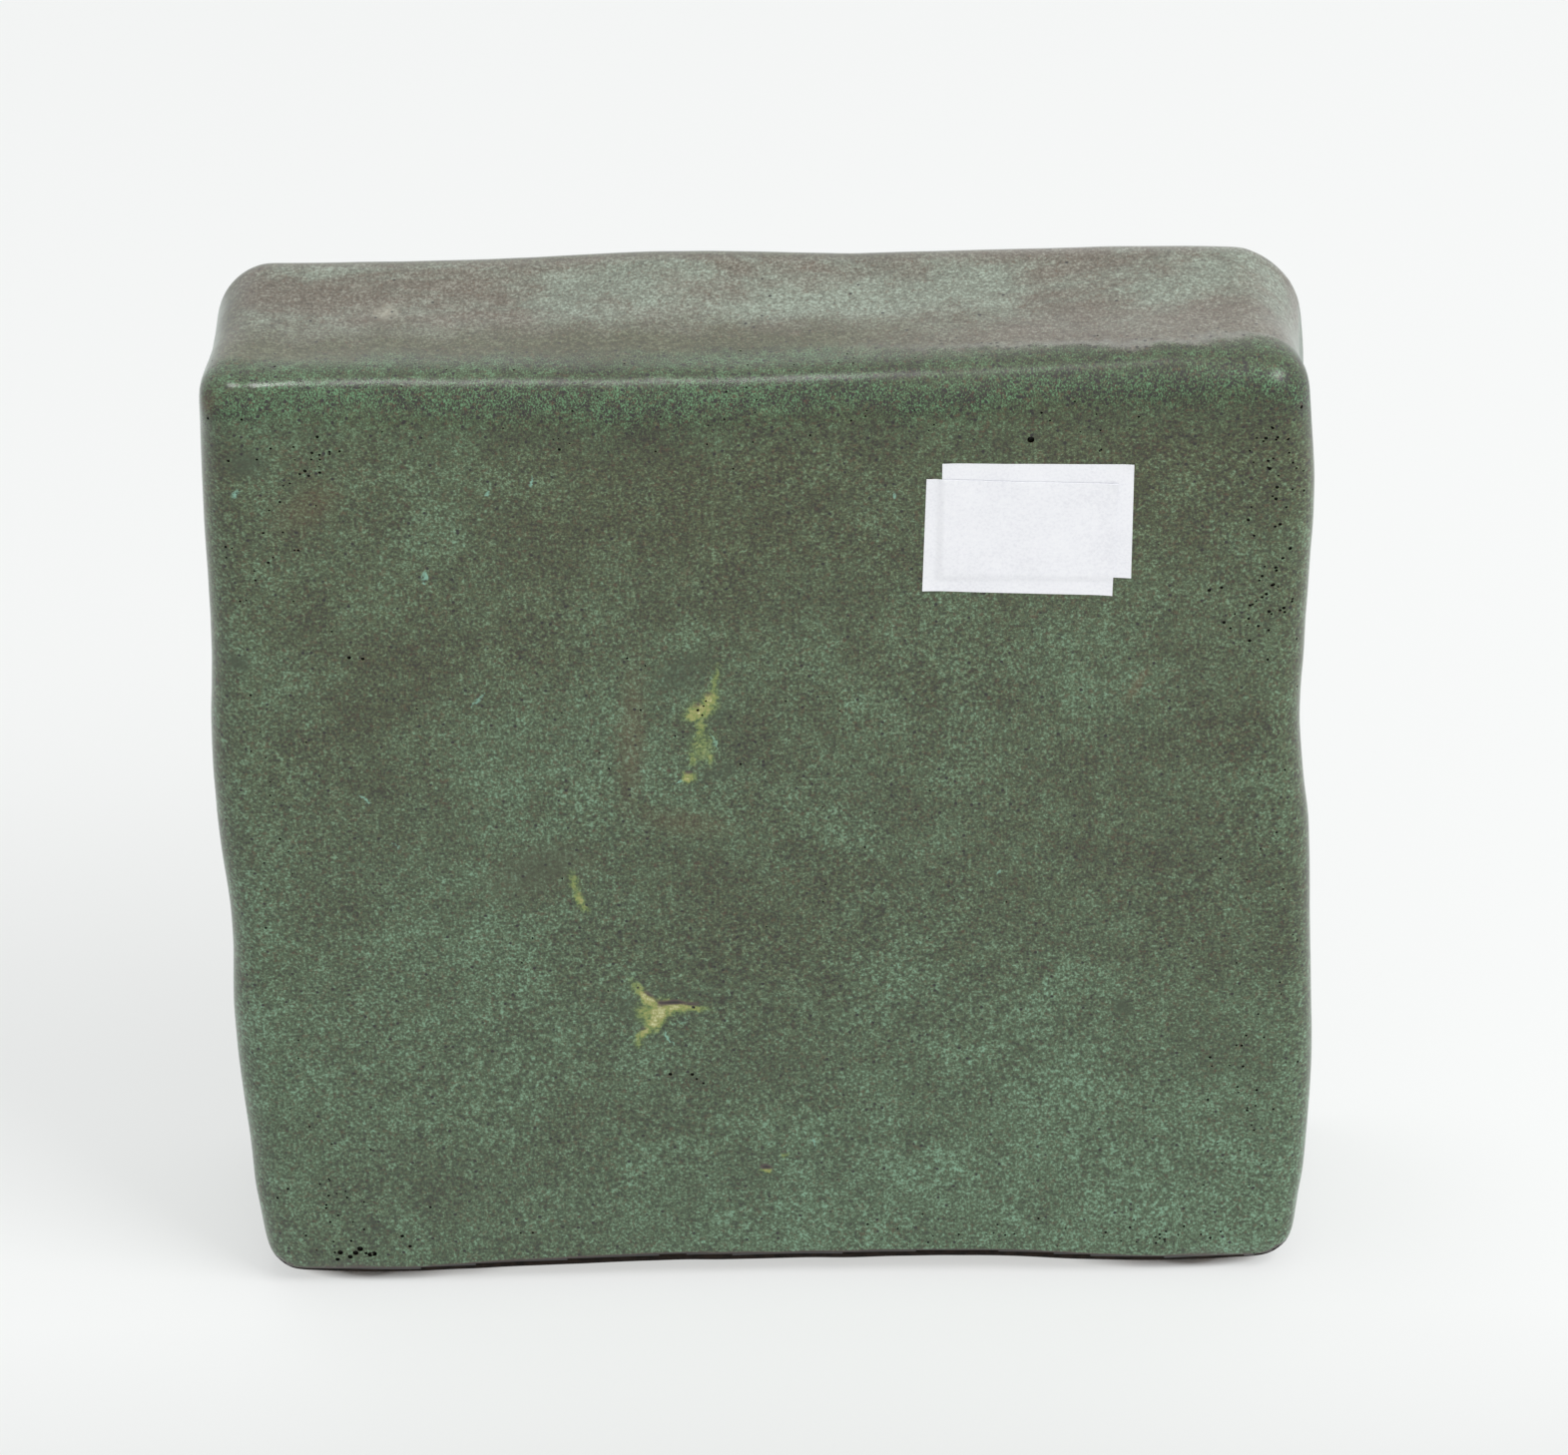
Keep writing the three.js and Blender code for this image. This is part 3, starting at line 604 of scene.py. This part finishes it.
# satin where the glaze is thick, duller where it is thin; the crystals stand a little proud
dull = add(glaze, "ShaderNodeMath", {0: right, 1: gathered}, operation="MULTIPLY").outputs[0]
rough = 0.36
for cover, change in ((gathered, -0.1), (dull, 0.25), (glossy, -0.16), (skip_cover, 0.25)):
    rough = add(glaze, "ShaderNodeMath", {0: cover, 1: change, 2: rough},
                operation="MULTIPLY_ADD").outputs[0]
relief = add(glaze, "ShaderNodeMath", {0: cluster, 1: 2, 2: crystal},
             operation="MULTIPLY_ADD").outputs[0]
bump = add(glaze, "ShaderNodeBump", {"Height": relief, "Strength": 0.5,
                                     "Distance": RELIEF}).outputs["Normal"]
shader = add(glaze, "ShaderNodeBsdfPrincipled", {
    "Base Color": colour, "Roughness": rough, "IOR": 1.5, "Sheen Weight": 0.5,
    "Sheen Roughness": 0.2, "Sheen Tint": linear("#d6ece2"), "Coat Weight": 0.45,
    "Coat Roughness": 0.27, "Coat IOR": 1.5, "Coat Normal": bump, "Normal": bump})
add(glaze, "ShaderNodeOutputMaterial", {"Surface": shader.outputs["BSDF"]})

# Bare stoneware clay
# The hollow, the filling hole and the flat underside were never glazed: buff, dry and gritty.
GRIT, GRIT_RELIEF = 0.5 * MM, 0.1 * MM
bare_clay = empty_material("buff_stoneware")
place = add(bare_clay, "ShaderNodeTexCoord").outputs["Object"]
grit = add(bare_clay, "ShaderNodeTexNoise", {"Vector": place, "Scale": 1 / GRIT,
                                             "Detail": 4, "Roughness": 0.7}).outputs["Fac"]
colour = add(bare_clay, "ShaderNodeValToRGB", {"Fac": grit}, stops=(
    (0.3, "#5f4a38"), (0.45, "#8d7258"), (0.6, "#a0876a"), (0.75, "#b79f80"))).outputs["Color"]
bump = add(bare_clay, "ShaderNodeBump", {"Height": grit, "Strength": 0.6,
                                         "Distance": GRIT_RELIEF}).outputs["Normal"]
shader = add(bare_clay, "ShaderNodeBsdfPrincipled", {"Base Color": colour, "Roughness": 0.9,
                                                     "Normal": bump})
add(bare_clay, "ShaderNodeOutputMaterial", {"Surface": shader.outputs["BSDF"]})

# Shaded edge of the foot
# Round the foot the glaze was wiped off with a wet sponge. The turned-under edge of the bare clay
# is painted almost black, as painted shade under the foot. The flat underside stayed buff.
TURNED_UNDER, FLAT_UNDER = -0.2, -0.97   # how far down the surface faces: -1 is straight down
FOOT_SHADE_HEIGHT = 6 * MM         # nothing above this takes the painted shade
SHADE_PATCH = 1.2 * MM             # size of the darker and lighter patches in the painted shade
shaded_foot_edge = empty_material("foot_edge_painted_shade")
place = add(shaded_foot_edge, "ShaderNodeTexCoord").outputs["Object"]
shade_patch = add(shaded_foot_edge, "ShaderNodeTexNoise", {"Vector": place, "Scale": 1 / SHADE_PATCH,
                                                "Detail": 3}).outputs["Fac"]
colour = add(shaded_foot_edge, "ShaderNodeValToRGB", {"Fac": shade_patch}, stops=(
    (0.35, "#120e0a"), (0.6, "#261d17"))).outputs["Color"]
shader = add(shaded_foot_edge, "ShaderNodeBsdfPrincipled", {
    "Base Color": colour, "Roughness": 0.95, "Specular IOR Level": 0.15})
add(shaded_foot_edge, "ShaderNodeOutputMaterial", {"Surface": shader.outputs["BSDF"]})

# Lining of the burst bubbles
# Almost black with a trace of gloss: the darker glass in the pits, and painted shade that stands
# for how deep a real pit goes.
STAIN = 0.3 * MM              # size of the browner spots in it
lining = empty_material("pit_lining_painted_shade")
place = add(lining, "ShaderNodeTexCoord").outputs["Object"]
stain = add(lining, "ShaderNodeTexNoise", {"Vector": place, "Scale": 1 / STAIN,
                                           "Detail": 2}).outputs["Fac"]
colour = add(lining, "ShaderNodeValToRGB", {"Fac": stain}, stops=(
    (0.35, "#0e0c07"), (0.65, "#241d12"))).outputs["Color"]
shader = add(lining, "ShaderNodeBsdfPrincipled", {"Base Color": colour, "Roughness": 0.5})
add(lining, "ShaderNodeOutputMaterial", {"Surface": shader.outputs["BSDF"]})

# the clay takes its four materials, and then the cut
for made in (glaze, bare_clay, lining, shaded_foot_edge):
    body.data.materials.append(made)
    cutters.data.materials.append(made)
# faces that turn under low on the block take the painted shade of the foot edge, and those facing
# straight down the bare clay
for face in body.data.polygons:
    lean = LEAN * min(max((abs(face.center.x) - LEAN_START) / (LEAN_END - LEAN_START), 0), 1)
    if face.center.z < FOOT_SHADE_HEIGHT and face.normal.z + lean < TURNED_UNDER:
        face.material_index = CLAY_SLOT if face.normal.z < FLAT_UNDER else FOOT_SHADE_SLOT
cut = body.modifiers.new("hollow_and_pits", "BOOLEAN")
cut.operation = "DIFFERENCE"
cut.solver = "MANIFOLD"
cut.object = cutters
hollowed = finished_mesh(body)
body.modifiers.clear()
body.data = hollowed
bpy.data.objects.remove(cutters)
body.data.set_sharp_from_angle(angle=CREASE)
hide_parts(*CLAY_NODES)
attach(body, "bookend")

# Paper labels
# Two small price-gun labels of thin white paper, stuck one partly over the other. Blank here.
# Each is a sheet laid on the clay, with its corners just lifting.
LABEL_CELL = 0.4 * MM         # spacing of a sheet's grid
GLUE = 0.04 * MM
PAPER = 0.09 * MM
CORNER_START = 0.86           # where the lifting begins, on a scale with 1 at the corner
CORNER_LIFT = 0.16 * MM
STEP_UP = PAPER + GLUE + 0.3 * CORNER_LIFT   # how much higher the sheet on top lies
FIBRE, CLOUD = 0.35 * MM, 5 * MM   # sizes of the paper's fibre tangles and cloudy patches
FIBRE_RELIEF = 0.02 * MM
LABELS = (
    # node, middle (x, z), width, height in mm, tilt in degrees
    ("label_under", (32.95, 110.55), 22.4, 15.6, -1.5),
    ("label_upper", (30.9, 108.3), 22.4, 15.5, -2.7),
)

paper = empty_material("label_stock")
place = add(paper, "ShaderNodeTexCoord").outputs["Object"]
fibre = add(paper, "ShaderNodeTexNoise", {"Vector": place, "Scale": 1 / FIBRE,
                                          "Detail": 3, "Roughness": 0.6}).outputs["Fac"]
cloudy = add(paper, "ShaderNodeTexNoise", {"Vector": place, "Scale": 1 / CLOUD,
                                           "Detail": 3}).outputs["Fac"]
tone = add(paper, "ShaderNodeMath", {0: cloudy, 1: 0.5, 2: fibre},
           operation="MULTIPLY_ADD").outputs[0]
colour = add(paper, "ShaderNodeValToRGB", {"Fac": tone}, stops=(
    (0.5, "#ecedf2"), (0.75, "#f5f6fa"), (1.0, "#f9fafd"))).outputs["Color"]
bump = add(paper, "ShaderNodeBump", {"Height": fibre, "Strength": 0.3,
                                     "Distance": FIBRE_RELIEF}).outputs["Normal"]
shader = add(paper, "ShaderNodeBsdfPrincipled", {"Base Color": colour, "Roughness": 0.7,
                                                 "Normal": bump})
add(paper, "ShaderNodeOutputMaterial", {"Surface": shader.outputs["BSDF"]})

below = None
for node, (x, z), width, height, tilt in LABELS:
    sheet = bmesh.new()
    across, up = width * MM, height * MM
    bmesh.ops.create_grid(sheet, x_segments=round(across / LABEL_CELL),
                          y_segments=round(up / LABEL_CELL), size=0.5,
                          matrix=Matrix.Rotation(math.pi / 2, 4, "X")
                          @ Matrix.Diagonal((across, up, 1, 1)))
    laid = (Matrix.Translation((x * MM, 0, z * MM))
            @ Matrix.Rotation(-math.radians(tilt), 4, "Y"))
    for v in sheet.verts:
        corner = max(0, abs(v.co.x) / across + abs(v.co.z) / up - CORNER_START)
        corner /= 1 - CORNER_START
        v.co = laid @ v.co
        point, _ = on_skin("near", v.co.x, v.co.z)
        v.co.y = point.y - GLUE - CORNER_LIFT * corner ** 2
        if below:
            inside = below[1] @ v.co
            margin = min(below[0][0] / 2 - abs(inside.x), below[0][1] / 2 - abs(inside.z))
            step = min(max(margin / LABEL_CELL + 1, 0), 1)
            v.co.y -= step * STEP_UP
    bmesh.ops.recalc_face_normals(sheet, faces=sheet.faces)
    if sheet.faces[:][0].normal.y < 0:
        bmesh.ops.reverse_faces(sheet, faces=sheet.faces)
    bmesh.ops.solidify(sheet, geom=sheet.faces[:], thickness=-PAPER)
    below = ((across, up), laid.inverted())
    label = move_mesh_to_scene(node.replace("label", "paper_label"), sheet)
    label.data.set_sharp_from_angle(angle=CREASE)
    label.data.materials.append(paper)
    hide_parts(node)
    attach(label, "bookend")

# Cork bung
# A tapered cork cut from bark agglomerate, pushed into the filling hole from below so that it
# can be drawn with two fingers. Its ends are slightly rounded by sanding.
CORK_TAPER = 0.9              # its upper end's width as a share of its lower end's
CORK_ROUNDING = 0.7 * MM
DISC_SEGMENTS = 48            # sides of the cork and of the felt feet
GRANULE, PORE = 1.6 * MM, 0.6 * MM
CORK_RELIEF = 0.15 * MM


def rims(disc):
    """The level edges round both ends of an upright disc or plug."""
    return [e for e in disc.edges if abs(e.verts[0].co.z - e.verts[1].co.z) < 0.1 * MM]


bung = bmesh.new()
bung_radius = (bung_high.x - bung_low.x) / 2
bmesh.ops.create_cone(
    bung, cap_ends=True, segments=DISC_SEGMENTS, radius1=bung_radius,
    radius2=bung_radius * CORK_TAPER, depth=bung_high.z - bung_low.z,
    matrix=Matrix.Translation((bung_low + bung_high) / 2))
bmesh.ops.bevel(bung, geom=rims(bung), offset=CORK_ROUNDING, affect="EDGES", segments=4,
                profile=0.5, material=-1)
bung_piece = move_mesh_to_scene("sanded_cork", bung)
bung_piece.data.set_sharp_from_angle(angle=CREASE)

cork = empty_material("pressed_cork")
place = add(cork, "ShaderNodeTexCoord").outputs["Object"]
granule = add(cork, "ShaderNodeTexVoronoi", {"Vector": place, "Scale": 1 / GRANULE})
tint = add(cork, "ShaderNodeSeparateColor",
           {"Color": granule.outputs["Color"]}).outputs["Red"]
pore = add(cork, "ShaderNodeTexNoise", {"Vector": place, "Scale": 1 / PORE,
                                        "Detail": 4, "Roughness": 0.7}).outputs["Fac"]
colour = add(cork, "ShaderNodeValToRGB", {"Fac": tint}, stops=(
    (0.0, "#9a6f45"), (0.5, "#b98a5a"), (1.0, "#cfa576"))).outputs["Color"]
holes = add(cork, "ShaderNodeMapRange", {"Value": pore, "From Min": 0.42,
                                         "From Max": 0.34}).outputs["Result"]
colour = add(cork, "ShaderNodeMix", {"Factor": holes, "A": colour, "B": linear("#5a3d24")},
             data_type="RGBA").outputs[2]
relief = add(cork, "ShaderNodeMath", {0: pore, 1: granule.outputs["Distance"]},
             operation="SUBTRACT").outputs[0]
bump = add(cork, "ShaderNodeBump", {"Height": relief, "Strength": 0.6,
                                    "Distance": CORK_RELIEF}).outputs["Normal"]
shader = add(cork, "ShaderNodeBsdfPrincipled", {"Base Color": colour, "Roughness": 0.85,
                                                "Normal": bump})
add(cork, "ShaderNodeOutputMaterial", {"Surface": shader.outputs["BSDF"]})
bung_piece.data.materials.append(cork)
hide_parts("cork_bung")
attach(bung_piece, "stopper")

# Felt feet
# Four round pads punched from dark green wool felt, glued under the corners. The punch left
# their rims a little frayed and rounded.
TANGLE, TANGLE_RELIEF = 0.5 * MM, 0.1 * MM   # the felt's tangles of wool
PAD_ROUNDING = 0.2 * MM
PAD_FRAY, PAD_FRAY_SIZE = 0.03, 0.9 * MM   # share of its radius by which a pad wavers
felt = empty_material("wool_felt")
place = add(felt, "ShaderNodeTexCoord").outputs["Object"]
tangle = add(felt, "ShaderNodeTexNoise", {"Vector": place, "Scale": 1 / TANGLE,
                                          "Detail": 4, "Roughness": 0.7,
                                          "Distortion": 2}).outputs["Fac"]
colour = add(felt, "ShaderNodeValToRGB", {"Fac": tangle}, stops=(
    (0.3, "#1d2a20"), (0.5, "#2c3c2f"), (0.7, "#425343"))).outputs["Color"]
bump = add(felt, "ShaderNodeBump", {"Height": tangle, "Strength": 0.8,
                                    "Distance": TANGLE_RELIEF}).outputs["Normal"]
shader = add(felt, "ShaderNodeBsdfPrincipled", {
    "Base Color": colour, "Roughness": 0.95, "Sheen Weight": 0.3, "Sheen Roughness": 0.5,
    "Normal": bump})
add(felt, "ShaderNodeOutputMaterial", {"Surface": shader.outputs["BSDF"]})
for number in range(1, 5):
    low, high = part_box(f"felt_foot_{number}")
    pad = bmesh.new()
    radius = (high.x - low.x) / 2
    bmesh.ops.create_cone(
        pad, cap_ends=True, segments=DISC_SEGMENTS, radius1=radius, radius2=radius,
        depth=high.z - low.z, matrix=Matrix.Translation((low + high) / 2))
    bmesh.ops.bevel(pad, geom=rims(pad), offset=PAD_ROUNDING, affect="EDGES", segments=3,
                    profile=0.5, material=-1)
    for v in pad.verts:
        middle = Vector(((low.x + high.x) / 2, (low.y + high.y) / 2, v.co.z))
        v.co += (middle - v.co) * abs(noise.noise(v.co / PAD_FRAY_SIZE)) * PAD_FRAY
    pad_piece = move_mesh_to_scene(f"felt_pad_{number}", pad)
    pad_piece.data.set_sharp_from_angle(angle=CREASE)
    pad_piece.data.materials.append(felt)
    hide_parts(f"felt_foot_{number}")
    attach(pad_piece, "bookend")

# Sand ballast
# Dry pale sand, poured in through the filling hole. It stays a plain CAD solid, shut inside.
SAND_GRAIN, SAND_RELIEF = 0.6 * MM, 0.3 * MM
sand = empty_material("dry_quartz_sand")
place = add(sand, "ShaderNodeTexCoord").outputs["Object"]
grains = add(sand, "ShaderNodeTexVoronoi", {"Vector": place, "Scale": 1 / SAND_GRAIN})
tint = add(sand, "ShaderNodeSeparateColor", {"Color": grains.outputs["Color"]}).outputs["Red"]
colour = add(sand, "ShaderNodeValToRGB", {"Fac": tint}, stops=(
    (0.0, "#8f7a58"), (0.3, "#b8a27a"), (0.8, "#d2c09a"), (1.0, "#ece0c4"))).outputs["Color"]
bump = add(sand, "ShaderNodeBump", {"Height": grains.outputs["Distance"], "Strength": 0.9,
                                    "Distance": -SAND_RELIEF}).outputs["Normal"]
shader = add(sand, "ShaderNodeBsdfPrincipled", {"Base Color": colour, "Roughness": 0.9,
                                                "Normal": bump})
add(sand, "ShaderNodeOutputMaterial", {"Surface": shader.outputs["BSDF"]})
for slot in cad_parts["sand_ballast"].material_slots:
    slot.material = sand

# Floor, light and camera
# A white sweep in a pale room, under a broad softbox high up on the right and a small one
# overhead. The camera sees the sweep nearly white with the block's soft shadow on it. It can
# be seen through from below, so that views of the underside show the feet and the cork.
WORLD_LEVEL = 0.6             # the room's light on the block, as a share of white
LIT_POINT = Vector((0, 0, 60 * MM))   # what the softboxes point at
SOFTBOXES = (
    # name, place in metres, width and depth in metres, power in watts
    ("broad_softbox", (0.62, -0.4, 0.95), (0.6, 0.45), 7.0),
    ("overhead_softbox", (-0.12, 0.07, 1.05), (0.16, 0.24), 1.0),
)
FLOOR_RADIUS = 4              # metres
FLOOR_GLOW = 0.55             # share of the floor's white that the camera sees without shadow
CONTACT = 1.3 * MM            # nearer the block than this the floor keeps its whole shadow
# the floor's glow fades towards the front: painted shade
FALLOFF_START, FALLOFF_END, FRONT_WHITE = 24 * MM, 60 * MM, 0.84   # greyer towards the front
floor_mesh = bmesh.new()
bmesh.ops.create_circle(floor_mesh, cap_ends=True, segments=64, radius=FLOOR_RADIUS)
floor = move_mesh_to_scene("floor", floor_mesh)
sweep = empty_material("white_sweep")
behind = add(sweep, "ShaderNodeNewGeometry").outputs["Backfacing"]
rays = add(sweep, "ShaderNodeLightPath").outputs
seen = add(sweep, "ShaderNodeMath", {0: rays["Is Camera Ray"], 1: rays["Is Glossy Ray"]},
           operation="MAXIMUM").outputs[0]
open_air = add(sweep, "ShaderNodeAmbientOcclusion", {"Distance": CONTACT}).outputs["AO"]
open_air = add(sweep, "ShaderNodeMapRange", {
    "Value": open_air, "From Min": 0.45, "From Max": 0.95,
    "To Max": FLOOR_GLOW}).outputs["Result"]
glow = add(sweep, "ShaderNodeMath", {0: seen, 1: open_air}, operation="MULTIPLY").outputs[0]
shader = add(sweep, "ShaderNodeBsdfPrincipled", {"Base Color": linear("#f0f1f1"),
                                                 "Roughness": 0.9})
# the glow dims from this far in front of the block towards the front: painted shade on the floor
depth = add(sweep, "ShaderNodeTexCoord").outputs["Object"]
depth = add(sweep, "ShaderNodeSeparateXYZ", {"Vector": depth}).outputs["Y"]
depth = add(sweep, "ShaderNodeMapRange", {
    "Value": depth, "From Min": -FALLOFF_START, "From Max": -FALLOFF_END, "To Min": 1,
    "To Max": FRONT_WHITE}).outputs["Result"]
white = add(sweep, "ShaderNodeEmission", {"Color": linear("#fcfefd"), "Strength": depth})
shader = add(sweep, "ShaderNodeMixShader", {0: glow, 1: shader.outputs["BSDF"],
                                            2: white.outputs["Emission"]})
clear = add(sweep, "ShaderNodeBsdfTransparent")
shader = add(sweep, "ShaderNodeMixShader", {0: behind, 1: shader.outputs["Shader"],
                                            2: clear.outputs["BSDF"]})
add(sweep, "ShaderNodeOutputMaterial", {"Surface": shader.outputs["Shader"]})
floor.data.materials.append(sweep)

world = bpy.data.worlds.new("white_room")
world.use_nodes = True
world.node_tree.nodes.clear()
rays = add(world, "ShaderNodeLightPath").outputs
seen = add(world, "ShaderNodeMath", {0: rays["Is Camera Ray"], 1: rays["Is Glossy Ray"]},
           operation="MAXIMUM").outputs[0]
level = add(world, "ShaderNodeMapRange", {"Value": seen, "To Min": WORLD_LEVEL}).outputs["Result"]
room = add(world, "ShaderNodeBackground", {"Color": (1, 1, 1, 1), "Strength": level})
add(world, "ShaderNodeOutputWorld", {"Surface": room.outputs["Background"]})
bpy.context.scene.world = world

for name, place, size, power in SOFTBOXES:
    lamp = bpy.data.lights.new(name, "AREA")
    lamp.shape = "RECTANGLE"
    lamp.size, lamp.size_y = size
    lamp.energy = power
    softbox = bpy.data.objects.new(name, lamp)
    bpy.context.scene.collection.objects.link(softbox)
    softbox.location = place
    softbox.rotation_euler = (LIT_POINT - softbox.location).to_track_quat("-Z", "Y").to_euler()

# the camera was fitted to the outline of the block in the photo
VIEW_ELEVATION = math.radians(33.18)
VIEW_ROLL = math.radians(-1.6004)
VIEW_TURN = math.radians(-1.2441)
VIEW_CENTRE = Vector((0, 0, 65 * MM))   # middle of the block
VIEW_DISTANCE = 1043 * MM
VIEW_RIGHT, VIEW_UP = 2.238 * MM, 5.170 * MM
FRAME_WIDTH = 1571            # pixels
FOCAL_PIXELS = 8576.4
SENSOR = 36                   # mm
CLIP = 0.05, 20               # metres
camera = bpy.data.cameras.new("camera")
camera.sensor_width = SENSOR
camera.lens = FOCAL_PIXELS * SENSOR / FRAME_WIDTH
camera.clip_start, camera.clip_end = CLIP
camera_object = bpy.data.objects.new("camera", camera)
bpy.context.scene.collection.objects.link(camera_object)
look = (Matrix.Rotation(-VIEW_TURN, 4, "Z")
        @ Matrix.Rotation(math.pi / 2 - VIEW_ELEVATION, 4, "X"))
camera_object.matrix_world = (Matrix.Translation(VIEW_CENTRE) @ look
                              @ Matrix.Translation((VIEW_RIGHT, VIEW_UP, VIEW_DISTANCE))
                              @ Matrix.Rotation(VIEW_ROLL, 4, "Z"))
bpy.context.scene.camera = camera_object
bpy.context.scene.view_settings.view_transform = "Standard"
